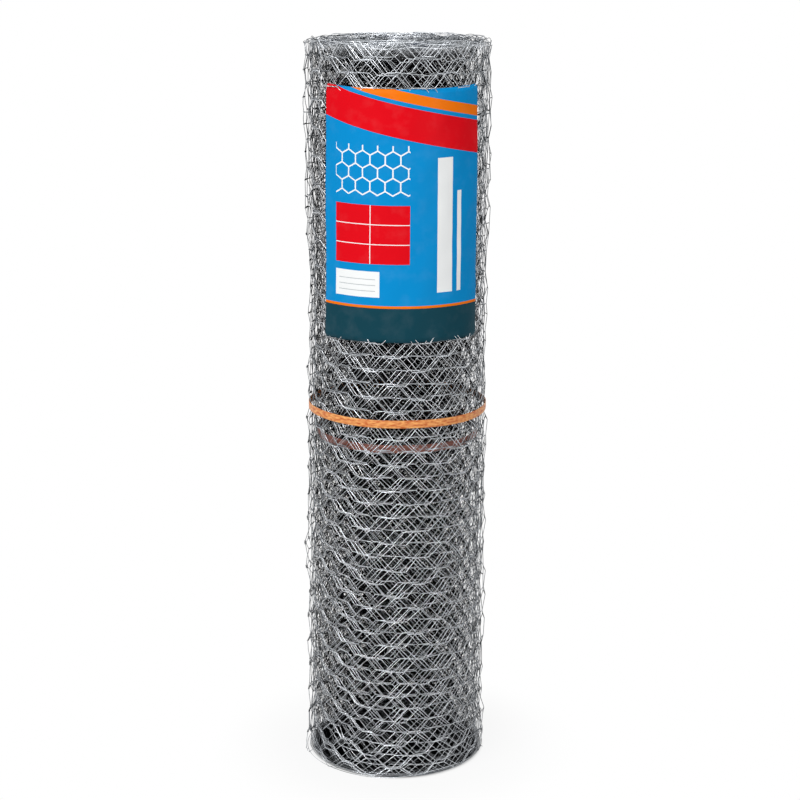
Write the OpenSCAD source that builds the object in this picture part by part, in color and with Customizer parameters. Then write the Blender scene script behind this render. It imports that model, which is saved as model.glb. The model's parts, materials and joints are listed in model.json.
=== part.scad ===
// Standing roll of hexagonal wire netting with a printed label sheet, a strap round
// the outside and an earlier strap that the last turns were wound over.
// The roll's axis is Z, it stands on Z = 0, and its front faces -Y. Millimetres.

/* [Netting] */
// Width of the netting, which stands upright in the roll
netting_w = 1800; // [1750:10:2000]
// Outside diameter of the wound roll, away from its waist and its foot
roll_d = 448; // [400:1:500]
// Diameter of the open bore that the winding mandrel left
bore_d = 70; // [50:1:120]
// Length of netting wound on the roll
netting_l = 50000; // [40000:500:60000]
// Open gap between the edge of one turn and the next, as seen on the ends
turn_gap = 0.6; // [0.4:0.1:1]
// How deep the gaps between the turns are open from each end
turn_gap_depth = 25; // [22:1:40]
// How far the edges of the turns stand out of line with each other
stagger = 10; // [2:1:20]
// Number of turns over which the edges run out of line and back
stagger_turns = 9; // [5:1:15]

/* [Outline] */
// How far the roll draws in at its waist
waist_in = 5; // [1:0.5:8]
// Height of the middle of the waist
waist_z = 1190; // [1000:10:1300]
// Half of the height that the waist takes up
waist_half = 400; // [200:10:440]
// How far the loose turns swell out just above the floor
foot_out = 7; // [1:0.5:12]
// Height of the middle of that swelling
foot_z = 45; // [30:1:60]
// Half of the height that the swelling takes up
foot_half = 90; // [70:1:120]
// How far the outer strap draws the roll in
strap_pinch = 3; // [0.5:0.5:6]
// Half of the height that the strap draws in
pinch_half = 40; // [20:1:60]

/* [Label] */
// Width of the label sheet, along its curve
label_w = 410; // [200:5:500]
// Height of the label sheet
label_h = 600; // [300:5:620]
// Height of the label's bottom edge
label_z = 1112; // [1000:1:1120]
// Thickness of the label sheet
label_t = 0.8; // [0.5:0.1:1.5]
// How far the label's middle is turned from the front, towards +X, in degrees
label_turn = 3.25; // [-20:0.25:20]

/* [Straps] */
// Width of the strapping band
strap_w = 19; // [10:0.5:25]
// Thickness of the strapping band
strap_t = 0.8; // [0.5:0.1:1.2]
// Length of the welded lap at the back, where the band's two ends overlap
lap_l = 45; // [20:1:80]
// Height of the middle of the outer strap
outer_strap_z = 915; // [500:1:980]
// Height of the middle of the inner strap
inner_strap_z = 848; // [200:1:1000]
// Number of turns wound over the inner strap
turns_over_strap = 8; // [3:1:15]

/* [Fit] */
// Clearance between a piece and the netting that it lies on
seat_gap = 0.3; // [0.1:0.05:0.6]

/* [Hidden] */
$fn = 128;
roll_r = roll_d / 2;
bore_r = bore_d / 2;
// The wound length fixes the pitch: the end face's area is the netting's length times its pitch.
turn_pitch = PI * (roll_r * roll_r - bore_r * bore_r) / netting_l;
turns = floor((roll_r - bore_r) / turn_pitch);
roll_h = netting_w + stagger;
inner_strap_r = roll_r - turns_over_strap * turn_pitch;
bulge_steps = 24;
front = 270;
back = 90;
wire_grey = "#8f979d";
label_blue = "#0c8fd2";
strap_orange = "#f0872a";

// Smooth swelling: 1 at its middle, falling to 0 at half_length on either side.
function swell(z, middle, half_length) =
    abs(z - middle) >= half_length ? 0 : pow(cos(90 * (z - middle) / half_length), 2);

// Outside radius of the roll at a height.
function radius_at(z) =
    roll_r - waist_in * swell(z, waist_z, waist_half) + foot_out * swell(z, foot_z, foot_half)
    - strap_pinch * swell(z, outer_strap_z, pinch_half);

// Heights of a swelling's points, from its one end to its other.
function swell_heights(middle, half_length) =
    [for (k = [0 : bulge_steps]) middle + half_length * (2 * k / bulge_steps - 1)];

// Values in rising order, each of them once.
function sorted(list) =
    len(list) == 0 ? [] :
    let (pivot = list[floor(len(list) / 2)])
    concat(sorted([for (v = list) if (v < pivot) v]), [pivot], sorted([for (v = list) if (v > pivot) v]));

// Heights between two limits where the outline is sampled: only the waist, the foot and the pinch curve.
function curve_heights(low, high) =
    sorted([for (z = concat(swell_heights(foot_z, foot_half), swell_heights(waist_z, waist_half),
        swell_heights(outer_strap_z, pinch_half))) if (z > low && z < high) z]);

function outline_heights(low, high) = concat([low], curve_heights(low, high), [high]);

function reversed(list) = [for (k = [len(list) - 1 : -1 : 0]) list[k]];

// Points up the roll's outside between two heights, a distance clear of it.
function outline(low, high, clear) = [for (z = outline_heights(low, high)) [radius_at(z) + clear, z]];

// Cross-section of a skin that follows the roll's outside between two heights.
module skin_section(low, high, clear, thick) {
    polygon(concat(outline(low, high, clear), reversed(outline(low, high, clear + thick))));
}

// Height of a turn's lower edge: the outermost turn stands on the floor, and the others run out of line and back.
function turn_lift(k) = stagger * pow(sin(180 * (turns - 1 - k) / stagger_turns), 2);

// Inside radius of a turn's share of the winding.
function turn_r(k) = bore_r + k * turn_pitch;

// Cross-section of the gaps between neighbouring turns, on both ends.
module turn_gap_section() {
    for (k = [1 : turns - 1], z = [-1, roll_h - turn_gap_depth])
        translate([turn_r(k) - turn_gap / 2, z]) square([turn_gap, turn_gap_depth + 1]);
}

// Cross-section of what lies below and above each turn's own edges. The last turn runs to the outside.
module turn_end_section() {
    for (k = [0 : turns - 1]) {
        wide = k < turns - 1 ? turn_pitch : 2 * turn_pitch + foot_out;
        translate([turn_r(k), -1]) square([wide, turn_lift(k) + 1]);
        translate([turn_r(k), netting_w + turn_lift(k)]) square([wide, stagger - turn_lift(k) + 1]);
    }
}

// Cross-section of the space that the inner strap fills among the turns, lap included.
module strap_space_section() {
    translate([inner_strap_r - seat_gap, inner_strap_z - strap_w / 2 - seat_gap])
        square([2 * strap_t + 2 * seat_gap, strap_w + 2 * seat_gap]);
}

// Wound netting: one turned solid with its bore, and its turns on both ends.
module netting_roll() {
    color(wire_grey) rotate_extrude() difference() {
        polygon(concat([[bore_r, 0]], outline(0, roll_h, 0), [[bore_r, roll_h]]));
        turn_gap_section();
        turn_end_section();
        strap_space_section();
    }
}

// Label sheet, curved round the front of the roll.
module label() {
    sweep = label_w / (PI * roll_r) * 180;
    color(label_blue) rotate([0, 0, front + label_turn - sweep / 2])
        rotate_extrude(angle = sweep) skin_section(label_z, label_z + label_h, seat_gap, label_t);
}

// Strapping band of an inside radius, with its welded lap at the back.
module strap(inside_r, middle_z) {
    sweep = lap_l / (PI * inside_r) * 180;
    translate([0, 0, middle_z - strap_w / 2]) {
        rotate_extrude() translate([inside_r, 0]) square([strap_t, strap_w]);
        rotate([0, 0, back - sweep / 2]) rotate_extrude(angle = sweep)
            translate([inside_r + strap_t / 2, 0]) square([1.5 * strap_t, strap_w]);
    }
}

module outer_strap() {
    widest_r = max(radius_at(outer_strap_z - strap_w / 2), radius_at(outer_strap_z + strap_w / 2));
    color(strap_orange) strap(widest_r + seat_gap, outer_strap_z);
}

module inner_strap() {
    color(strap_orange) strap(inner_strap_r, inner_strap_z);
}

netting_roll();
label();
outer_strap();
inner_strap();
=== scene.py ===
"""Looks of a standing roll of galvanised hexagonal netting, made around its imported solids.

One 50 m length of netting is wound wire by wire: its knots are laid out flat as arrays, wires are carried
from knot to knot, and the flat netting is wound on the roll's spiral. A label and two straps go with it.
"""
import json
import math
from typing import NamedTuple

import bpy
import numpy as np
from mathutils import Euler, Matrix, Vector


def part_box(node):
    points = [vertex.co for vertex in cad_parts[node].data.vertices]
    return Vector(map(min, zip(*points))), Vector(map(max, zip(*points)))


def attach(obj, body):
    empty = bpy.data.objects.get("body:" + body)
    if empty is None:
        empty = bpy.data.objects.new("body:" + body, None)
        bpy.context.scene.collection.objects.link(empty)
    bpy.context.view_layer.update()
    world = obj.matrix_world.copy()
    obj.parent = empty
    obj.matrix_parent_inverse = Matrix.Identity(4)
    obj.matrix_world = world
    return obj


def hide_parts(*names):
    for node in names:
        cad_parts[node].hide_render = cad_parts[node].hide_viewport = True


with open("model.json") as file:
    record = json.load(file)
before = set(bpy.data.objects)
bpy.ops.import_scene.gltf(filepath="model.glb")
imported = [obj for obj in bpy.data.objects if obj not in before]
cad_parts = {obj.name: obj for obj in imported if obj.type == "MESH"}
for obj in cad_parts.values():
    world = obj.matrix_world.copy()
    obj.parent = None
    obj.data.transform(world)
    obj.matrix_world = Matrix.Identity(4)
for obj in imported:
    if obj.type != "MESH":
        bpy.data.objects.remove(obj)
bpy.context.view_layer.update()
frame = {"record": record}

# Units: lengths are metres and angles are radians, unless a comment says otherwise
MM = 0.001
FRONT = math.radians(270)
BACK = math.radians(90)

# Roll: its sizes, from the frame where it gives them, and the place of the netting's cut end
ROLL_LOW, ROLL_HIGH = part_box("netting_roll")
ROLL_H = ROLL_HIGH[2] - ROLL_LOW[2]
ROLL_R = 224 * MM
BORE_R = next(m for m in frame["record"]["mounts"] if m["name"] == "bore")["dims"]["r_mm"] * MM
NETTING_L = 50.0
NETTING_W = 1.8
TURNS = (ROLL_R - BORE_R) * NETTING_L / (math.pi * (ROLL_R ** 2 - BORE_R ** 2))
END_ANGLE = math.radians(62)

# Outline: the waist, the loose foot and the pinch under the strap, as in the solid. Deeper turns follow it
# less, by a power of their share of all turns
WAIST_IN = 5 * MM
WAIST_Z = 1190 * MM
WAIST_HALF = 400 * MM
FOOT_OUT = 7 * MM
FOOT_Z = 45 * MM
FOOT_HALF = 90 * MM
PINCH_IN = 3 * MM
PINCH_HALF = 40 * MM
OUTLINE_POWER = 3

# Mesh: rows of twists run round the roll, with slanting wires between them. The middle of the first twist
# and the length of a twist are shares of a period
WIRE_D = 1.24 * MM
# The wire is half a pixel wide in the render, so the outer turns are drawn heavier, to show as to the eye
HEAVIER = 1.2
DRAWN_WIRE_R = HEAVIER * WIRE_D / 2
NET_W = NETTING_W - 2 * DRAWN_WIRE_R
WIRES = 55
ROWS = WIRES + 1
ROW_PITCH = 33.08 * MM
FLOOR_SQUEEZE = 70 * MM
MESH_PERIOD = 113.3 * MM
FIRST_TWIST = 0.25
TWIST_SHARE = 0.25
TWIST_TURNS = 2

# Bedding: a turn's count of periods is pulled to a little under a whole number, so the slanting wires of
# neighbouring turns lie beside each other as a comb. Every sixth turn or so the whole number drops by one,
# and the next comb starts
SLIP = -0.1
BED_STEP = 0.02
LOOKUP_STEPS = 20001

# Looseness: how far knots, rows and turns stray from their even places, in periods where they stray along a
# row. A rate is the most waves in a turn, in a period where its name says along, or in a metre where it
# says up
SEED = 7
LOW_SEED, HIGH_SEED, ROW_SEED, LOOSE_SEED = 11, 12, 13, 14
DRIFT_WAVES = 9
SLIP_STRAY = 0.015
SLIP_RATE = 2.6
SKEW = 0.035
SKEW_RATE_ALONG = 0.08
SKEW_RATE_UP = 4.0
# Next to the floor the netting is looser, and skewed by this many times as much again
FOOT_SKEW = 1.5
KNOT_ALONG = 0.016
KNOT_UP = 1.0 * MM
KNOT_OUT = 1.6 * MM
ROW_STRAY = 2 * MM
ROW_RATE = 3.0
ROW_RATE_UP = 3.0

# Edges: turns stand out of line at the foot, apart from the outer ones, and are ragged and tilted on top
STAGGER = ROLL_H - NETTING_W
EVEN_FOOT = STAGGER / 2 + DRAWN_WIRE_R
FOOT_LEVEL_TURNS = 6
EDGE_FADE = 130 * MM
EDGE_RATE = 2.2
TOP_TILT = 4.5 * MM
TOP_RAGGED = 7 * MM
RIPPLE_SHARE = 0.7
RIPPLE_RATE = 14.0
RIPPLE_MOST = 1.3

# Outer turns: they stand loose, the cut end is tucked in, and the foot is lifted at the right
LOOSE_OUT = 8.5 * MM
LOOSE_TURNS = 2.0
LOOSE_KNOTS = 2.5
LOOSE_MIDDLE = 0.55
LOOSE_SWAY = 0.6
LOOSE_MOST = 1.6
LOOSE_RATE = 5.0
LOOSE_RATE_UP = 9.0
CUT_TUCK = 7 * MM
CUT_TUCK_PERIODS = 0.35
FOOT_LIFT = 22 * MM
FOOT_LIFT_TURNS = 0.7
FOOT_LIFT_AT = FRONT + math.radians(55)
FOOT_LIFT_HALF = math.radians(45)
FOOT_LIFT_FULL = 0.6
FOOT_LIFT_FADE = 300 * MM

# Tones of the zinc, from 0, dull, to 1, bright. Twists are drawn duller than the wires between them, as
# painted shade in their grooves. Tones sway along a wire, and fast enough from wire to wire for neighbours
# to differ
TONE_SEED = 17
TWIST_TONE = 0.7
SLANT_TONE = 1.0
WIRE_SWAY = 0.3
WIRE_RATE_ALONG = 3.0
SELVAGE_SWAY = 0.9
SELVAGE_RATE_ALONG = 0.4
TONE_RATE_WIRE = 7.3
CAST_PATCH = 60 * MM

# Shade in the winding, painted into the wire's colour: how far light comes in from the outside, from above
# and off the floor, how much of the last two there is, and how bright the painted shade leaves the sides of
# a wire
SHADE_FROM, SHADE_TO = 9 * MM, 42 * MM
TOP_LIT, TOP_LIGHT = 48 * MM, 0.85
FLOOR_LIT, FLOOR_LIGHT = 120 * MM, 0.6
SHADED_SIDE_LEVEL = 0.05

# Label: it lies a little wider at its bottom than at its top, with its full width at a share of its height
LABEL_LOW, LABEL_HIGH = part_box("label")
LABEL_W = 410 * MM
LABEL_H = LABEL_HIGH[2] - LABEL_LOW[2]
LABEL_Z = (LABEL_LOW[2] + LABEL_HIGH[2]) / 2
LABEL_AT = FRONT + math.radians(3.25)
LABEL_FLARE = 0.075
LABEL_TRUE_AT = 0.73
LABEL_SAG = 9 * MM
LABEL_THICK = 0.4 * MM
LABEL_TUCK = 4 * MM
LABEL_TUCK_SPAN = 9 * MM
LABEL_WAVE = 0.45 * MM
LABEL_WAVES_A_METRE = 16.0
LABEL_COLUMNS, LABEL_ROWS = 97, 141
SEAT_GAP = 0.3 * MM

# Print on the label: rectangles as left, bottom, right, top and ink, in millimetres from the sheet's lower
# left corner. Two bands slope down to the right, a honeycomb, a table and a note stand in one column, two
# bars stand beside them, and a band and a line run along the sheet's foot
BLUE, RED, ORANGE = "#078acb", "#dd0a19", "#f0760c"
TEAL, WHITE, GREY = "#123f4c", "#f0f2f2", "#a9b0b4"
SHEET_W, SHEET_H = LABEL_W / MM, LABEL_H / MM
BAND_SLOPE = 0.22
SLOPED_BANDS = [(0, 530, SHEET_W, 606, RED), (0, 616, SHEET_W, 640, ORANGE)]
COLUMN_LEFT, COLUMN_RIGHT = 36, 220
COMB_LOW, COMB_TOP = 352, 470
COMB_CELL = 36
COMB_LINE = 3.2
TABLE_LOW, TABLE_TOP = 190, 330
TABLE_MIDDLE = 126
TABLE_RULE = 2
TABLE = [(COLUMN_LEFT, TABLE_LOW, COLUMN_RIGHT, TABLE_TOP, RED)]
TABLE += [(TABLE_MIDDLE, TABLE_LOW, TABLE_MIDDLE + TABLE_RULE, TABLE_TOP, WHITE)]
TABLE += [(COLUMN_LEFT, low, COLUMN_RIGHT, low + TABLE_RULE, WHITE) for low in (236, 283)]
NOTE_LINE = 1.5
NOTE = [(COLUMN_LEFT, 110, 150, 172, WHITE)]
NOTE += [(46, low, 140, low + NOTE_LINE, GREY) for low in (124, 138, 152)]
BARS = [(286, 120, 326, 440, WHITE), (340, 120, 352, 360, WHITE)]
FOOT_BAND_TOP, FOOT_LINE_TOP = 84, 90
FOOT_BANDS = [(0, 0, SHEET_W, FOOT_BAND_TOP, TEAL), (0, FOOT_BAND_TOP, SHEET_W, FOOT_LINE_TOP, ORANGE)]
RUB_PATCH = 35 * MM

# Straps: each one's material and its two colours, half of the section as shares of thickness and width, and
# the sway as share, waves in a turn and phase
STRAPS = {
    "outer_strap": ("orange_polypropylene", "#c95a18", "#f6b668"),
    # The inner strap is the same orange band as the outer one; its darker colours are painted shade, as it
    # lies deep under the outer turns
    "inner_strap": ("shaded_polypropylene", "#5e2c20", "#854838"),
}
STRAP_LOW, STRAP_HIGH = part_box("outer_strap")
STRAP_Z = (STRAP_LOW[2] + STRAP_HIGH[2]) / 2
STRAP_T = 0.8 * MM
STRAP_EDGE = [(0, 0.5), (0.3, 0.5), (0.8, 0.47), (1, 0.4)]
STRAP_CROWN = 0.08
STRAP_LAP = 45 * MM
STRAP_SWAY = 0.9 * MM
STRAP_SWAYS = [(1.0, 2, 0.6), (0.6, 5, 2.1)]
STRAP_STEPS = 481
STREAK_W = 5 * MM
# The embossed diamonds are drawn about twice as coarse as real ones, so that they show
DIAMOND_W = 4 * MM
EMBOSSING = 0.3 * MM

# Hold: the label and the strap press the outer turns down, and their hold has soft edges
LABEL_SIDE_SOFT = 25 * MM
LABEL_END_FREE = 8 * MM
LABEL_END_SOFT = 6 * MM
STRAP_SOFT = 6 * MM

# Stage: lamps as place, width and watts, the world's strength as a light, and the floor: where its painted
# shadow under the roll gives way to white, and where it is shaded
LAMPS = {
    "key_lamp": ((-4.5, -6.5, 6.9), 7.0, 830),
    "fill_lamp": ((2.4, -2.6, 1.7), 1.8, 25),
    "top_lamp": ((0.2, 0.3, 3.8), 1.5, 34),
}
WORLD_LIGHT = 0.22
FLOOR_HALF = 30.0
# Inside GROUND_FROM the floor is painted dark as a painted shadow, and by GROUND_TO it is pale
GROUND_FROM, GROUND_TO = 210 * MM, 231 * MM
SHADOW_FROM, SHADOW_TO = 235 * MM, 500 * MM
SHADOW_SHARE = 0.1

# Camera: lens and sensor in millimetres, and how far it looks down, aside and is tilted, in degrees
CAMERA_AT = (0, -4.2426, 1.9553)
CAMERA_LENS = 78.42
CAMERA_SENSOR = 36
CAMERA_DOWN = 13.695
CAMERA_ASIDE = -0.089
CAMERA_TILT = 0.274

# Sockets of a Mix node, by number, because those for colours and for vectors have the same names
COLOUR_A, COLOUR_B, COLOUR_OUT = 6, 7, 2
VECTOR_A, VECTOR_B, VECTOR_OUT = 4, 5, 1

RNG = np.random.default_rng(SEED)


class Stretch(NamedTuple):
    """Stretch of netting that is a piece of its own: turns from the outside, how finely it is drawn, its
    wire's radius and how bright its selvages are."""
    name: str
    outside: float
    inside: float
    twist_steps: int
    slant_steps: int
    selvage_steps: int
    sides: int
    wire_r: float
    selvage_tone: float


# The outer turn's selvages are painted bright and those of deeper turns duller: painted light and shade by
# depth
STRETCHES = [
    Stretch("netting_outer_turn", 0, 1.1, 12, 2, 12, 4, DRAWN_WIRE_R, 0.95),
    Stretch("netting_turns_below", 1.1, 9, 1, 1, 8, 4, DRAWN_WIRE_R, 0.6),
    Stretch("netting_middle_turns", 9, 20, 1, 1, 4, 3, WIRE_D / 2, 0.6),
    Stretch("netting_deep_turns", 20, 34, 1, 1, 4, 3, WIRE_D / 2, 0.6),
    Stretch("netting_inner_turns", 34, TURNS, 1, 1, 4, 3, WIRE_D / 2, 0.6),
]


def smoothstep(x):
    """0 below 0, 1 above 1, and an even S-curve between."""
    x = np.clip(x, 0, 1)
    return x * x * (3 - 2 * x)


def swell(z, middle, half):
    """1 at the middle, falling to 0 at half a length on either side: a squared cosine."""
    return np.where(abs(z - middle) < half, np.cos(np.pi / 2 * (z - middle) / half) ** 2, 0)


def angle_between(angle, other):
    """Angle from one direction to another, the shorter way round: from 0 to half a turn."""
    return abs((angle - other + np.pi) % (2 * np.pi) - np.pi)


def drift(rng, *coords):
    """Smooth wandering between about -1 and 1: a sum of sine waves. Each coordinate comes with its rate,
    the most waves in a unit, and every sine runs in a random direction among them."""
    total = 0
    for _ in range(DRIFT_WAVES):
        angle = rng.uniform(0, 2 * math.pi)
        for value, rate in coords:
            angle = angle + value * rate * 2 * math.pi * rng.uniform(-1, 1)
        total = total + np.sin(angle)
    return total / math.sqrt(DRIFT_WAVES)


def round_axis(radius, angle, z):
    """Points at a radius and an angle round the roll's axis, and at a height."""
    return np.stack([radius * np.cos(angle), radius * np.sin(angle), z], axis=-1)


def outline(z):
    """How far the roll's outside stands in or out at a height."""
    pinch = PINCH_IN * swell(z, STRAP_Z, PINCH_HALF)
    return FOOT_OUT * swell(z, FOOT_Z, FOOT_HALF) - WAIST_IN * swell(z, WAIST_Z, WAIST_HALF) - pinch


def turn_radius(turn):
    """Radius of the spiral after a number of turns: it grows evenly from the bore."""
    return BORE_R + DRAWN_WIRE_R + (ROLL_R - BORE_R - 2 * DRAWN_WIRE_R) * turn / TURNS


def wound_periods():
    """Mesh periods that are on the roll after each part of a turn, to look up in: the periods of a turn are
    its circumference over the mesh's own period, pulled to a whole number and a slip, and are summed up."""
    turn = np.linspace(0, TURNS, LOOKUP_STEPS)
    natural = 2 * np.pi * turn_radius(turn) / MESH_PERIOD
    whole = np.floor(natural)
    count = whole + smoothstep((natural - whole - 0.5) / BED_STEP + 0.5) + SLIP
    summed = np.concatenate([[0], np.cumsum((count[1:] + count[:-1]) / 2 * np.diff(turn))])
    return turn, summed + SLIP_STRAY * drift(RNG, (turn, SLIP_RATE))


TURN_AT, PERIODS_AT = wound_periods()
PERIODS = int(PERIODS_AT[-1]) - 1


def period_at(turns_in):
    """Whole number of periods on the roll where a number of turns lies over that place."""
    return int(np.interp(TURNS - turns_in, TURN_AT, PERIODS_AT))


def row_heights():
    """Flat heights of the rows of twists: even from the top down, and squeezed together near the floor."""
    even = NET_W - ROW_PITCH * np.arange(WIRES, -1, -1)
    return even - even[0] * np.exp(-(even - even[0]) / FLOOR_SQUEEZE)


def lay_knots():
    """Both ends of every twist of the flat netting, as an array of row, twist, end and (period, height,
    lift). Twists of odd rows stand half a period further on, the netting is skewed here and there, most of
    all next to the floor, and every knot strays."""
    rows = np.arange(ROWS)[:, None, None]
    twists = np.arange(PERIODS)[None, :, None]
    ends = TWIST_SHARE * np.array([-0.5, 0.5])[None, None, :]
    period = twists + 0.5 * (rows % 2) + FIRST_TWIST + ends
    knots = np.empty(period.shape + (3,))
    stray = RNG.uniform(-1, 1, knots.shape)
    inside = ((rows > 0) & (rows < ROWS - 1)).astype(float)
    height = row_heights()[:, None, None]
    looser = 1 + FOOT_SKEW * smoothstep(1 - height / EDGE_FADE)
    skew = SKEW * looser * drift(RNG, (period, SKEW_RATE_ALONG), (height, SKEW_RATE_UP))
    knots[..., 0] = period + skew + KNOT_ALONG * stray[..., 0]
    knots[..., 1] = height + KNOT_UP * stray[..., 1] * inside
    knots[..., 2] = KNOT_OUT * stray[..., 2]
    return knots


def knots_by_wire(knots):
    """Each wire's knots in order, as wire, period, four knots and (period, height, lift): a wire runs along
    a twist of the even one of its two rows, slants over, and runs along a twist of the odd one."""
    wire = np.arange(WIRES)
    even = wire + wire % 2
    odd = wire + 1 - wire % 2
    return np.concatenate([knots[even], knots[odd]], axis=2)


def wire_paths(knots, first, last, twist_steps, slant_steps):
    """Flat path of every wire over a stretch of periods. Along a twist the wire winds round its partner as a
    helix, starting and ending on the side that it comes from, and between twists it is straight. A twist of
    one step is straight too, and as far from its partner as the helix is on average."""
    apart = DRAWN_WIRE_R if twist_steps > 1 else DRAWN_WIRE_R * 2 / np.pi
    starts = knots[:, first:last]
    ends = np.concatenate([starts[:, :, 1:], knots[:, first + 1:last + 1, :1]], axis=2)
    side = np.where(np.arange(WIRES) % 2 == 0, 1, -1)
    sides = side[:, None, None, None] * np.array([1, -1])[:, None]
    step = np.arange(twist_steps) / twist_steps
    twist = starts[:, :, 0::2, None] + (ends - starts)[:, :, 0::2, None] * step[:, None]
    helix = 2 * np.pi * TWIST_TURNS * step
    twist[..., 1] += apart * sides * np.cos(helix)
    twist[..., 2] += apart * sides * np.sin(helix)
    step = np.arange(slant_steps) / slant_steps
    slant = starts[:, :, 1::2, None] + (ends - starts)[:, :, 1::2, None] * step[:, None]
    slant[..., 1] += apart * sides * (1 - 2 * step)
    path = np.concatenate([twist, slant], axis=3).reshape(WIRES, -1, 3)
    end = knots[:, last, :1].copy()
    end[..., 1] += apart * side[:, None]
    return np.concatenate([path, end], axis=1)


def selvage_paths(first, last, steps):
    """Flat paths of the straight wire along each edge of the netting, over a stretch of periods."""
    period = np.linspace(first, last, (last - first) * steps + 1)
    heights = np.array([0, NET_W])
    path = np.zeros((2, len(period), 3))
    path[..., 0] = period + FIRST_TWIST - TWIST_SHARE / 2
    path[..., 1] = heights[:, None]
    return path


def label_half_angle(share):
    """Half of the angle that the label takes up at a share of its height: it narrows evenly to its top."""
    return LABEL_W / ROLL_R / 2 * (1 + LABEL_FLARE * (LABEL_TRUE_AT - share))


def pressed(angle, z):
    """How firmly the label or the strap holds the outer turns down: 1 under them, and 0 further away."""
    across = angle_between(angle, LABEL_AT) * ROLL_R
    label_half = label_half_angle(np.clip((z - LABEL_LOW[2]) / LABEL_H, 0, 1)) * ROLL_R
    label_x = smoothstep((label_half + LABEL_SIDE_SOFT - across) / LABEL_SIDE_SOFT)
    label_z = smoothstep((LABEL_H / 2 - LABEL_END_FREE - abs(z - LABEL_Z)) / LABEL_END_SOFT)
    strap_away = abs(z - STRAP_Z) - (STRAP_HIGH[2] - STRAP_LOW[2]) / 2
    strap = smoothstep(1 - strap_away / STRAP_SOFT)
    return np.maximum(label_x * label_z, strap)


def wound_height(flat_z, turn, angle):
    """Height on the roll of a place on the flat netting. Rows keep their height, but for a little stray, and
    bend to the turn's own edges next to them. The foot of the outermost turn is lifted on one side."""
    over = TURNS - turn
    level = 1 - np.exp(-over / FOOT_LEVEL_TURNS)
    wander = drift(np.random.default_rng(LOW_SEED), (turn, EDGE_RATE))
    low = STAGGER * level * np.clip(0.5 + 0.5 * wander, 0, 1)
    low += 2 * DRAWN_WIRE_R - EVEN_FOOT
    rng = np.random.default_rng(HIGH_SEED)
    ripple = drift(rng, (turn, EDGE_RATE)) + RIPPLE_SHARE * drift(rng, (turn, RIPPLE_RATE))
    high = TOP_RAGGED * np.clip(ripple, -RIPPLE_MOST, RIPPLE_MOST) + TOP_TILT * np.sin(angle)
    near_low = smoothstep(1 - flat_z / EDGE_FADE)
    near_high = smoothstep(1 - (NET_W - flat_z) / EDGE_FADE)
    wander = drift(np.random.default_rng(ROW_SEED), (turn, ROW_RATE), (flat_z, ROW_RATE_UP))
    stray = ROW_STRAY * (1 - near_low - near_high) * wander
    z = EVEN_FOOT + flat_z + low * near_low + high * near_high + stray
    aside = angle_between(angle, FOOT_LIFT_AT) / FOOT_LIFT_HALF
    lift = FOOT_LIFT * np.exp(-over / FOOT_LIFT_TURNS) * smoothstep(1 + FOOT_LIFT_FULL - aside)
    return z + lift * smoothstep(1 - z / FOOT_LIFT_FADE)


def wind(flat):
    """Winds flat netting on the roll. The period gives the turn, and so the angle and the spiral's radius.
    The outer turns stand loose where nothing holds them down, and the cut end is tucked in."""
    turn = np.interp(flat[..., 0], PERIODS_AT, TURN_AT)
    angle = END_ANGLE + 2 * np.pi * (turn - TURNS)
    z = wound_height(flat[..., 1], turn, angle)
    outer = np.exp(-(TURNS - turn) / LOOSE_TURNS)
    wander = drift(np.random.default_rng(LOOSE_SEED), (turn, LOOSE_RATE), (z, LOOSE_RATE_UP))
    loose = LOOSE_OUT * outer * np.clip(LOOSE_MIDDLE + LOOSE_SWAY * wander, 0, LOOSE_MOST)
    lift = flat[..., 2] * (1 + LOOSE_KNOTS * outer) + loose
    lift = np.where(lift > 0, lift * (1 - pressed(angle, z)), lift)
    cut = smoothstep(1 - (PERIODS - 1 - flat[..., 0]) / CUT_TUCK_PERIODS)
    radius = turn_radius(turn) + outline(z) * (turn / TURNS) ** OUTLINE_POWER
    return round_axis(np.clip(radius + lift - CUT_TUCK * cut, BORE_R, None), angle, z)


def wire_tones(flat, middle, sway, rate):
    """How bright each wire is along its way, from 0 to 1: a wandering about a middle, at a rate along the
    wire, that hardly repeats from wire to wire."""
    number = np.arange(len(flat))[:, None]
    wander = drift(np.random.default_rng(TONE_SEED), (flat[..., 0], rate), (number, TONE_RATE_WIRE))
    return np.clip(middle + sway * wander, 0, 1)


def face_tones(tones, sides):
    """Tones of a tube's faces: the walls of a step take the tone of its start, and the caps take those of
    the ends."""
    walls = np.repeat(tones[:, :-1].ravel(), sides)
    return np.concatenate([walls, tones[:, 0], tones[:, -1]])


def wire_tubes(paths, sides, radius):
    """Tubes of an even-sided profile carried along paths, as vertices and faces. The profile's first
    direction points away from the roll's axis, squared to the path, and both ends are closed."""
    count, length = paths.shape[:2]
    along = np.gradient(paths, axis=1)
    along /= np.linalg.norm(along, axis=2, keepdims=True)
    out = paths * np.array([1, 1, 0])
    out -= along * (out * along).sum(axis=2, keepdims=True)
    out /= np.linalg.norm(out, axis=2, keepdims=True)
    across = np.cross(along, out)
    angle = 2 * np.pi * np.arange(sides) / sides
    ring = out[:, :, None] * np.cos(angle)[:, None] + across[:, :, None] * np.sin(angle)[:, None]
    vertices = paths[:, :, None] + radius * ring
    number = np.arange(count * length * sides).reshape(count, length, sides)
    here, there = number[:, :-1], number[:, 1:]
    walls = np.stack([here, np.roll(here, -1, axis=2), np.roll(there, -1, axis=2), there], axis=-1)
    caps = np.concatenate([number[:, 0, ::-1], number[:, -1]])
    return vertices.reshape(-1, 3), [walls.reshape(-1, 4), caps]


def add_object(name, data):
    """New object at the origin, linked to the scene."""
    made = bpy.data.objects.new(name, data)
    bpy.context.collection.objects.link(made)
    return made


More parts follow.
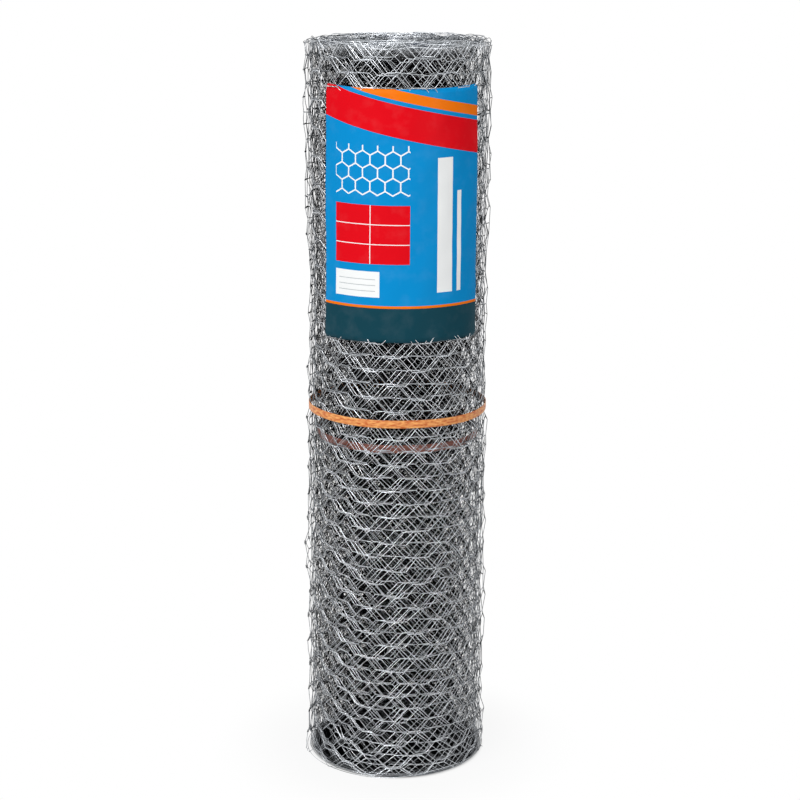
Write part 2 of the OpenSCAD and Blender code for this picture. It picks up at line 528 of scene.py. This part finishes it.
def build_piece(name, vertices, faces, material):
    """Piece on the object's one body, with its place in its mesh, from an array of vertices and arrays of
    faces, each with faces of a like number of corners."""
    mesh = bpy.data.meshes.new(name)
    corners = np.concatenate([f.ravel() for f in faces]).astype(np.int32)
    sizes = np.concatenate([np.full(len(f), f.shape[1]) for f in faces])
    starts = np.concatenate([[0], np.cumsum(sizes)[:-1]]).astype(np.int32)
    mesh.vertices.add(len(vertices))
    mesh.vertices.foreach_set("co", np.ascontiguousarray(vertices, dtype=np.float32).ravel())
    mesh.loops.add(len(corners))
    mesh.loops.foreach_set("vertex_index", corners)
    mesh.polygons.add(len(starts))
    mesh.polygons.foreach_set("loop_start", starts)
    mesh.polygons.foreach_set("use_smooth", np.full(len(starts), True))
    mesh.update(calc_edges=True)
    mesh.validate()
    mesh.materials.append(material)
    piece = add_object(name, mesh)
    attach(piece, "root")
    return piece


def set_map(piece, name, places):
    """Gives a mesh a UV map from one place for each corner of its faces."""
    layer = piece.data.uv_layers.new(name=name)
    layer.uv.foreach_set("vector", np.ascontiguousarray(places, dtype=np.float32).ravel())


def cell_map(faces):
    """Places on a square for a mesh whose faces don't follow a grid: every face has a cell of its own, and
    stays a tenth of the cell inside its edges."""
    count = sum(len(f) for f in faces)
    cells = math.ceil(math.sqrt(count))
    number = np.arange(count)
    corner = np.stack([number % cells, number // cells], axis=-1)
    square = 0.1 + 0.8 * np.array([[0, 0], [1, 0], [1, 1], [0, 1]])
    starts = np.cumsum([0] + [len(f) for f in faces])
    parts = [corner[start:start + len(f), None] + square[:f.shape[1]] for start, f in zip(starts, faces)]
    return np.concatenate([part.reshape(-1, 2) for part in parts]) / cells


def linear(hex_colour):
    """Linear RGBA of an sRGB hex colour."""
    shares = [int(hex_colour[k:k + 2], 16) / 255 for k in (1, 3, 5)]
    return [s / 12.92 if s <= 0.04045 else ((s + 0.055) / 1.055) ** 2.4 for s in shares] + [1]


def add(tree, kind, inputs=None, **settings):
    """Adds a shader node of a kind. Settings are its properties, and inputs give a socket, by name or
    number, a value or a link."""
    made = tree.nodes.new("ShaderNode" + kind)
    for name, value in settings.items():
        setattr(made, name, value)
    for socket, value in (inputs or {}).items():
        if isinstance(value, bpy.types.NodeSocket):
            tree.links.new(value, made.inputs[socket])
        else:
            made.inputs[socket].default_value = value
    return made


def empty_tree(owner):
    """Node tree of a material or a world, with nothing in it."""
    owner.use_nodes = True
    owner.node_tree.nodes.clear()
    return owner.node_tree


def new_material(name):
    """Material with a Principled shader linked to its output."""
    material = bpy.data.materials.new(name)
    tree = empty_tree(material)
    shader = add(tree, "BsdfPrincipled")
    add(tree, "OutputMaterial", {"Surface": shader.outputs[0]})
    return material, tree, shader


def wire_shade(tree, spot):
    """How bright the painted light and shade leave the wire, from 0 to 1. Painted shade darkens the sides
    that don't face outwards, apart from next to the top and the floor, where more light is painted in, and
    darkens the wire with depth under the outside or the top of the roll, whichever is nearer."""
    place = spot.outputs["Object"]
    height = add(tree, "SeparateXYZ", {0: place}).outputs["Z"]
    flat = add(tree, "VectorMath", {0: place, 1: (1, 1, 0)}, operation="MULTIPLY").outputs[0]
    radius = add(tree, "VectorMath", {0: flat}, operation="LENGTH").outputs["Value"]
    outward = add(tree, "VectorMath", {0: flat}, operation="NORMALIZE").outputs[0]
    facing = add(tree, "VectorMath", {0: outward, 1: spot.outputs["Normal"]}, operation="DOT_PRODUCT")
    # Painted shade on the sides of a wire that don't face outwards
    lit_sides = add(tree, "MapRange", {"Value": facing.outputs["Value"], "From Min": 0.3, "From Max": 0.8,
                                   "To Min": SHADED_SIDE_LEVEL}).outputs[0]
    under_top = add(tree, "Math", {0: ROLL_H, 1: height}, operation="SUBTRACT").outputs[0]
    # Painted light on those sides next to the top and the floor
    for away, reach, most in ((under_top, TOP_LIT, TOP_LIGHT), (height, FLOOR_LIT, FLOOR_LIGHT)):
        light = add(tree, "MapRange", {"Value": away, "From Max": reach, "To Min": most, "To Max": 0.0})
        lit_sides = add(tree, "Math", {0: lit_sides, 1: light.outputs[0]}, operation="MAXIMUM").outputs[0]
    outside = add(tree, "MapRange", {"Value": height, "From Max": FLOOR_LIT, "To Min": ROLL_R + FOOT_OUT,
                                     "To Max": ROLL_R})
    under_side = add(tree, "Math", {0: outside.outputs[0], 1: radius}, operation="SUBTRACT")
    from_top = add(tree, "Math", {0: under_top, 1: SHADE_TO / TOP_LIT}, operation="MULTIPLY")
    depth = add(tree, "Math", {0: under_side.outputs[0], 1: from_top.outputs[0]}, operation="MINIMUM")
    # Painted shade with depth in the winding
    depth_light = add(tree, "MapRange", {"Value": depth.outputs[0], "From Min": SHADE_FROM,
                                      "From Max": SHADE_TO, "To Min": 1.0, "To Max": 0.0},
                   interpolation_type="SMOOTHSTEP")
    return add(tree, "Math", {0: lit_sides, 1: depth_light.outputs[0]}, operation="MULTIPLY").outputs[0]


def galvanised_wire():
    """Hot-dipped steel wire, a little weathered: pale zinc, some stretches of wire bright and some dull, in
    patches of a blue and of a green cast. Painted shade makes it nearly black where no light comes in, and
    darker on the sides of a wire that don't face outwards."""
    material, tree, shader = new_material("galvanised_wire")
    spot = add(tree, "TexCoord")
    patch = add(tree, "TexNoise", {"Vector": spot.outputs["Object"], "Scale": 1 / CAST_PATCH, "Detail": 2.0})
    cast = add(tree, "MapRange", {"Value": patch.outputs["Fac"], "From Min": 0.35, "From Max": 0.65})
    dull = add(tree, "Mix", {"Factor": cast.outputs[0], COLOUR_A: linear("#4c5260"),
                             COLOUR_B: linear("#505856")}, data_type="RGBA")
    tone = add(tree, "Attribute", attribute_name="tone").outputs["Fac"]
    zinc = add(tree, "Mix", {"Factor": tone, COLOUR_A: dull.outputs[COLOUR_OUT],
                             COLOUR_B: linear("#f4f8fd")}, data_type="RGBA")
    # Painted shade: the zinc goes towards near black where wire_shade is low
    colour = add(tree, "Mix", {"Factor": wire_shade(tree, spot), COLOUR_A: linear("#08090b"),
                               COLOUR_B: zinc.outputs[COLOUR_OUT]}, data_type="RGBA")
    rough = add(tree, "MapRange", {"Value": tone, "To Min": 0.42, "To Max": 0.2})
    tree.links.new(colour.outputs[COLOUR_OUT], shader.inputs["Base Color"])
    tree.links.new(rough.outputs[0], shader.inputs["Roughness"])
    shader.inputs["Metallic"].default_value = 0.9
    shader.inputs["Specular Tint"].default_value = linear("#303234")
    return material


def panel(tree, point, left, bottom, right, top):
    """Mask of a printed rectangle: 1 where the point is nearer its middle than half its size, both ways."""
    middle = ((left + right) / 2, (bottom + top) / 2, 0)
    half = ((right - left) / 2, (top - bottom) / 2, 1)
    away = add(tree, "VectorMath", {0: point, 1: middle}, operation="SUBTRACT")
    away = add(tree, "VectorMath", {0: away.outputs[0]}, operation="ABSOLUTE")
    away = add(tree, "VectorMath", {0: away.outputs[0], 1: half}, operation="SUBTRACT")
    parts = add(tree, "SeparateXYZ", {0: away.outputs[0]})
    worst = add(tree, "Math", {0: parts.outputs[0], 1: parts.outputs[1]}, operation="MAXIMUM")
    return add(tree, "Math", {0: worst.outputs[0], 1: 0.0}, operation="LESS_THAN").outputs[0]


def hexagon_lines(tree, point, cell, line):
    """Mask of the outlines of a honeycomb of a cell width: the point is wrapped into each of the two
    rectangular lattices that the cells' middles form, the nearer middle is taken, and the edge is half a
    cell from it."""
    half = (cell / 2, cell * math.sqrt(3) / 2, 1)
    less = tuple(-h for h in half)
    moved = add(tree, "VectorMath", {0: point, 1: half}, operation="SUBTRACT").outputs[0]
    ways = []
    lengths = []
    for start in (point, moved):
        way = add(tree, "VectorMath", {0: start, 1: half, 2: less}, operation="WRAP")
        way = add(tree, "VectorMath", {0: way.outputs[0], 1: (1, 1, 0)}, operation="MULTIPLY").outputs[0]
        ways.append(way)
        lengths.append(add(tree, "VectorMath", {0: way}, operation="LENGTH").outputs["Value"])
    nearer = add(tree, "Math", {0: lengths[1], 1: lengths[0]}, operation="LESS_THAN")
    away = add(tree, "Mix", {"Factor": nearer.outputs[0], VECTOR_A: ways[0], VECTOR_B: ways[1]},
               data_type="VECTOR")
    away = add(tree, "VectorMath", {0: away.outputs[VECTOR_OUT]}, operation="ABSOLUTE").outputs[0]
    slant = add(tree, "VectorMath", {0: away, 1: (0.5, math.sqrt(3) / 2, 0)}, operation="DOT_PRODUCT")
    across = add(tree, "SeparateXYZ", {0: away}).outputs[0]
    edge = add(tree, "Math", {0: across, 1: slant.outputs["Value"]}, operation="MAXIMUM").outputs[0]
    return add(tree, "Math", {0: edge, 1: (cell - line) / 2}, operation="GREATER_THAN").outputs[0]


def label_print():
    """Offset print on coated paper: flat, even inks with crisp edges under a satin coat, rubbed a little by
    handling, here and there. The print is plain bands, blank panels with rules, and a honeycomb."""
    material, tree, shader = new_material("label_print")
    spot = add(tree, "UVMap", uv_map="print").outputs[0]
    point = add(tree, "VectorMath", {0: spot, 1: (SHEET_W, SHEET_H, 0)}, operation="MULTIPLY").outputs[0]
    parts = add(tree, "SeparateXYZ", {0: point})
    across = parts.outputs[0]
    raised = add(tree, "Math", {0: across, 1: BAND_SLOPE, 2: parts.outputs[1]}, operation="MULTIPLY_ADD")
    sloped = add(tree, "CombineXYZ", {0: across, 1: raised.outputs[0]}).outputs[0]
    comb = hexagon_lines(tree, point, COMB_CELL, COMB_LINE)
    field = panel(tree, point, COLUMN_LEFT, COMB_LOW, COLUMN_RIGHT, COMB_TOP)
    inks = [(add(tree, "Math", {0: comb, 1: field}, operation="MULTIPLY").outputs[0], WHITE)]
    inks += [(panel(tree, sloped, *sides), ink) for *sides, ink in SLOPED_BANDS]
    inks += [(panel(tree, point, *sides), ink) for *sides, ink in FOOT_BANDS + TABLE + NOTE + BARS]
    colour = linear(BLUE)
    for mask, ink in inks:
        inked = {"Factor": mask, COLOUR_A: colour, COLOUR_B: linear(ink)}
        colour = add(tree, "Mix", inked, data_type="RGBA").outputs[COLOUR_OUT]
    place = add(tree, "TexCoord").outputs["Object"]
    rub = add(tree, "TexNoise", {"Vector": place, "Scale": 1 / RUB_PATCH, "Detail": 5.0}).outputs["Fac"]
    rubbed = add(tree, "MapRange", {"Value": rub, "From Min": 0.5, "From Max": 0.8, "To Max": 0.02})
    worn = add(tree, "Mix", {"Factor": rubbed.outputs[0], COLOUR_A: colour, COLOUR_B: linear("#e9edf0")},
               data_type="RGBA")
    rough = add(tree, "MapRange", {"Value": rub, "To Min": 0.3, "To Max": 0.5})
    tree.links.new(worn.outputs[COLOUR_OUT], shader.inputs["Base Color"])
    tree.links.new(rough.outputs[0], shader.inputs["Roughness"])
    shader.inputs["Specular IOR Level"].default_value = 0.05
    return material


def strap_polypropylene(name, deep, pale):
    """Extruded polypropylene band: embossed with small diamonds, where two sets of slanting ridges cross,
    and streaked along its length where it was stretched."""
    material, tree, shader = new_material(name)
    spot = add(tree, "UVMap", uv_map="band").outputs[0]
    streak = add(tree, "Mapping", {"Vector": spot, "Scale": (0.35, 1.0, 1.0)}).outputs[0]
    mottle = add(tree, "TexNoise", {"Vector": streak, "Scale": 1 / STREAK_W, "Detail": 4.0})
    share = add(tree, "MapRange", {"Value": mottle.outputs["Fac"], "From Min": 0.35, "From Max": 0.68})
    colour = add(tree, "Mix", {"Factor": share.outputs[0], COLOUR_A: linear(deep), COLOUR_B: linear(pale)},
                 data_type="RGBA")
    parts = add(tree, "SeparateXYZ", {0: spot})
    along, up = parts.outputs[0], parts.outputs[1]
    ridges = []
    for way in (1.0, -1.0):
        run = add(tree, "Math", {0: up, 1: way, 2: along}, operation="MULTIPLY_ADD").outputs[0]
        turn = add(tree, "Math", {0: run, 1: 2 * math.pi / DIAMOND_W}, operation="MULTIPLY").outputs[0]
        ridges.append(add(tree, "Math", {0: turn}, operation="SINE").outputs[0])
    diamonds = add(tree, "Math", {0: ridges[0], 1: ridges[1]}, operation="MULTIPLY").outputs[0]
    bump = add(tree, "Bump", {"Height": diamonds, "Strength": 0.6, "Distance": EMBOSSING})
    tree.links.new(colour.outputs[COLOUR_OUT], shader.inputs["Base Color"])
    tree.links.new(bump.outputs[0], shader.inputs["Normal"])
    shader.inputs["Roughness"].default_value = 0.42
    shader.inputs["IOR"].default_value = 1.49
    return material


def make_netting():
    """Winds the whole netting, in stretches from the outside in."""
    knots = knots_by_wire(lay_knots())
    zinc = galvanised_wire()
    for stretch in STRETCHES:
        first = period_at(stretch.inside)
        last = min(period_at(stretch.outside), PERIODS - 1)
        wires = wire_paths(knots, first, last, stretch.twist_steps, stretch.slant_steps)
        edges = selvage_paths(first, last, stretch.selvage_steps)
        vertices, faces = wire_tubes(wind(wires), stretch.sides, stretch.wire_r)
        edge_vertices, edge_faces = wire_tubes(wind(edges), stretch.sides, WIRE_D / 2)
        faces += [f + len(vertices) for f in edge_faces]
        piece = build_piece(stretch.name, np.concatenate([vertices, edge_vertices]), faces, zinc)
        step = np.arange(wires.shape[1]) % (stretch.twist_steps + stretch.slant_steps)
        # Twists take the duller tone: painted shade in their grooves
        middle = np.where(step < stretch.twist_steps, TWIST_TONE, SLANT_TONE)
        tones = [wire_tones(wires, middle, WIRE_SWAY, WIRE_RATE_ALONG),
                 wire_tones(edges, stretch.selvage_tone, SELVAGE_SWAY, SELVAGE_RATE_ALONG)]
        tones = np.concatenate([face_tones(t, stretch.sides) for t in tones])
        tone = piece.data.attributes.new("tone", "FLOAT", "FACE")
        tone.data.foreach_set("value", tones.astype(np.float32))
        set_map(piece, "OFBake", cell_map(faces))
        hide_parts("netting_roll")


def make_label():
    """Label sheet: a grid of angle and height that follows the roll's outside, with its top and bottom
    tucked in under the outermost wires, slight waves all over, and a second grid behind for its thickness.
    Its top edge sags in a parabola between its corners."""
    rows, columns = LABEL_ROWS, LABEL_COLUMNS
    share_x, share_z = np.meshgrid(np.linspace(0, 1, columns), np.linspace(0, 1, rows))
    across = 2 * share_x - 1
    angle = LABEL_AT + label_half_angle(share_z) * across
    z = LABEL_LOW[2] + (LABEL_H - LABEL_SAG * (1 - across ** 2)) * share_z
    wave = LABEL_WAVE * drift(RNG, (share_x * LABEL_W, LABEL_WAVES_A_METRE), (z, LABEL_WAVES_A_METRE))
    to_end = np.minimum(share_z, 1 - share_z) * LABEL_H
    tuck = LABEL_TUCK * smoothstep(1 - to_end / LABEL_TUCK_SPAN)
    radius = ROLL_R + outline(z) + SEAT_GAP + LABEL_WAVE + wave - tuck
    layers = [round_axis(r, angle, z) for r in (radius + LABEL_THICK, radius)]
    vertices = np.concatenate([layer.reshape(-1, 3) for layer in layers])
    number = np.arange(rows * columns).reshape(rows, columns)
    front = np.stack([number[:-1, :-1], number[:-1, 1:], number[1:, 1:], number[1:, :-1]], axis=-1)
    front = front.reshape(-1, 4)
    behind = front[:, ::-1] + rows * columns
    edge = np.concatenate([number[0, :-1], number[:-1, -1], number[-1, :0:-1], number[:0:-1, 0]])
    following = np.roll(edge, -1)
    rim = np.stack([edge, edge + rows * columns, following + rows * columns, following], axis=-1)
    piece = build_piece("label_sheet", vertices, [front, behind, rim], label_print())
    places = np.stack([share_x, share_z], axis=-1).reshape(-1, 2)
    corners = np.concatenate([front, behind, rim]).ravel()
    set_map(piece, "print", places[corners % (rows * columns)])
    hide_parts("label")


def strap_profile():
    """Section of a strap, as shares of its thickness and its width: flat, with soft outer edges and a
    slight crown."""
    lower = [(out, -up) for out, up in STRAP_EDGE]
    return np.array(lower + [(1 + STRAP_CROWN, 0)] + STRAP_EDGE[::-1] + [(STRAP_CROWN, 0)])


def make_strap(node, material):
    """Strapping band: its section carried once round the roll and on over its own start, where the two ends
    are welded. The band sways a little up and down, in sine waves."""
    low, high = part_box(node)
    inside = (high[0] - low[0]) / 2 - STRAP_T
    width = high[2] - low[2]
    lap = STRAP_LAP / inside
    angle = np.linspace(BACK - lap / 2, BACK + 2 * math.pi + lap / 2, STRAP_STEPS)[:, None]
    over = smoothstep((angle - BACK - 2 * math.pi + lap) / (lap / 2))
    sway = STRAP_SWAY * sum(share * np.sin(waves * angle + phase) for share, waves, phase in STRAP_SWAYS)
    thick, up = strap_profile().T
    radius = inside + STRAP_T * (thick + over)
    z = (low[2] + high[2]) / 2 + sway + width * up
    number = np.arange(z.size).reshape(z.shape)
    here, there = number[:-1], number[1:]
    walls = np.stack([here, there, np.roll(there, -1, axis=1), np.roll(here, -1, axis=1)], axis=-1)
    walls = walls.reshape(-1, 4)
    caps = np.stack([number[0], number[-1, ::-1]])
    vertices = round_axis(radius, angle, z).reshape(-1, 3)
    piece = build_piece(node + "_band", vertices, [walls, caps], material)
    places = np.stack(np.broadcast_arrays(angle * inside, width * up), axis=-1).reshape(-1, 2)
    set_map(piece, "band", places[np.concatenate([walls.ravel(), caps.ravel()])])
    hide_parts(node)


def seen_rays(tree):
    """1 for a ray that comes from the eye, straight, off gloss or through glass, and 0 for any other."""
    path = add(tree, "LightPath").outputs
    seen = path["Is Camera Ray"]
    for kind in ("Is Glossy Ray", "Is Transmission Ray"):
        seen = add(tree, "Math", {0: seen, 1: path[kind]}, operation="MAXIMUM").outputs[0]
    return seen


def white_floor():
    """Matt floor that is white to the eye and keeps the roll's shadow next to it. Under the roll its own
    colour is painted dark, a painted shadow, where a pale floor would shine through the mesh."""
    material = bpy.data.materials.new("white_floor")
    tree = empty_tree(material)
    place = add(tree, "TexCoord").outputs["Object"]
    away = add(tree, "VectorMath", {0: place}, operation="LENGTH").outputs["Value"]
    near = add(tree, "MapRange", {"Value": away, "From Min": GROUND_FROM, "From Max": GROUND_TO,
                                  "To Max": 1 - SHADOW_SHARE}, interpolation_type="SMOOTHSTEP").outputs[0]
    wide = add(tree, "MapRange", {"Value": away, "From Min": SHADOW_FROM, "From Max": SHADOW_TO,
                                  "To Max": SHADOW_SHARE}, interpolation_type="SMOOTHSTEP").outputs[0]
    open_floor = add(tree, "Math", {0: near, 1: wide}, operation="ADD").outputs[0]
    white = add(tree, "Math", {0: open_floor, 1: seen_rays(tree)}, operation="MULTIPLY").outputs[0]
    # Painted shadow: the floor's colour is near black under the roll and pale outside it
    floor_with_painted_shadow = add(tree, "Mix", {"Factor": near, COLOUR_A: linear("#141516"), COLOUR_B: linear("#e6e6e6")},
                 data_type="RGBA")
    matt = add(tree, "BsdfDiffuse", {"Color": floor_with_painted_shadow.outputs[COLOUR_OUT]})
    glow = add(tree, "Emission", {"Color": (1, 1, 1, 1), "Strength": 1.0})
    mixed = add(tree, "MixShader", {0: white, 1: matt.outputs[0], 2: glow.outputs[0]})
    add(tree, "OutputMaterial", {"Surface": mixed.outputs[0]})
    return material


def make_floor():
    """One wide square under the roll."""
    corners = [(x * FLOOR_HALF, y * FLOOR_HALF, 0) for x, y in ((-1, -1), (1, -1), (1, 1), (-1, 1))]
    mesh = bpy.data.meshes.new("floor")
    mesh.from_pydata(corners, [], [(0, 1, 2, 3)])
    mesh.materials.append(white_floor())
    floor = add_object("floor", mesh)


def make_lamps():
    """Soft square lamps that look at the middle of the roll."""
    for name, (place, width, power) in LAMPS.items():
        light = bpy.data.lights.new(name, "AREA")
        light.size = width
        light.energy = power
        lamp = add_object(name, light)
        lamp.location = place
        view = Vector((0, 0, ROLL_H / 2)) - lamp.location
        lamp.rotation_euler = view.to_track_quat("-Z", "Y").to_euler()


def make_world():
    """White to the eye and to metal, and dimmer as a light."""
    world = bpy.data.worlds.new("studio")
    tree = empty_tree(world)
    strength = add(tree, "MapRange", {"Value": seen_rays(tree), "To Min": WORLD_LIGHT, "To Max": 1.0})
    sky = add(tree, "Background", {"Color": (1, 1, 1, 1), "Strength": strength.outputs[0]})
    add(tree, "OutputWorld", {"Surface": sky.outputs[0]})
    bpy.context.scene.world = world


def make_camera():
    """Camera where the photograph was taken from: a little over the roll's height, looking down, and hardly
    tilted."""
    camera = bpy.data.cameras.new("camera")
    camera.sensor_width = CAMERA_SENSOR
    camera.lens = CAMERA_LENS
    eye = add_object("camera", camera)
    eye.location = CAMERA_AT
    aim = Euler((math.radians(90 - CAMERA_DOWN), 0, math.radians(CAMERA_ASIDE))).to_matrix()
    tilt = Euler((0, 0, math.radians(CAMERA_TILT))).to_matrix()
    eye.rotation_euler = (aim @ tilt).to_euler()
    bpy.context.scene.camera = eye


make_netting()
make_label()
for node, finish in STRAPS.items():
    make_strap(node, strap_polypropylene(*finish))
make_floor()
make_lamps()
make_world()
make_camera()
bpy.context.scene.view_settings.view_transform = "Standard"
